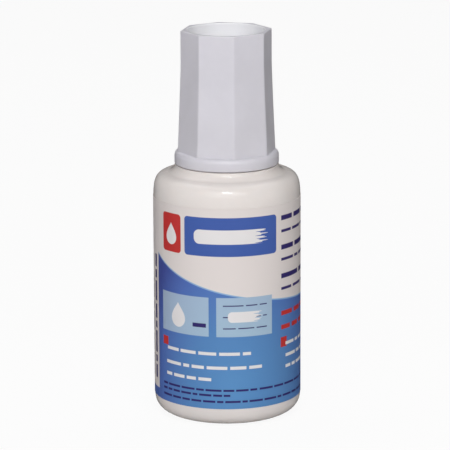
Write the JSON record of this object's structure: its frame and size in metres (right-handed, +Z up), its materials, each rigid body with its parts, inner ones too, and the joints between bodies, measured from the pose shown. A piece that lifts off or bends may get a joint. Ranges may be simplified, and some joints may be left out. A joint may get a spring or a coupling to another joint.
{
  "type": "correction fluid bottle",
  "caption": "Small round bottle of correction fluid with a wrap-round label and an octagonal screw cap that carries an applicator brush.",
  "frame": {"origin": "centre of the foot ring, on the surface the bottle stands on", "axes": "+Z up along the bottle's axis, front of the label towards -Y"},
  "size_m": [0.0288, 0.0288, 0.0759],
  "materials": {
    "bottle_plastic": "glossy blown polyethylene, warm white",
    "label_film": "printed film with a satin varnish, white and blue",
    "cap_plastic": "satin moulded polypropylene, cool white",
    "stem_plastic": "moulded polyethylene, natural white",
    "anchor_wire": "flat drawn wire",
    "bristle_nylon": "nylon filaments wetted white",
    "ball_steel": "polished stainless ball"
  },
  "bodies": {
    "bottle": {"bottle": "bottle_plastic", "label": "label_film", "mixing_ball": "ball_steel"},
    "brush": {"brush_stem": "stem_plastic", "bristle_anchor": "anchor_wire", "bristles": "bristle_nylon"},
    "cap": {"cap": "cap_plastic"}
  },
  "joints": [
    {"name": "cap_lift", "type": "slide", "parent": "bottle", "child": "brush", "axis": [0, 0, 1], "range_m": [0, 0.0571]},
    {"name": "cap_turn", "type": "hinge", "parent": "brush", "child": "cap", "pos_m": [0, 0, 0.0575], "axis": [0, 0, 1], "range_deg": [0, 6840]}
  ],
  "couplings": [
    {"joint": "cap_lift", "follows": "cap_turn", "m_per_rad": 0.00047746}
  ]
}
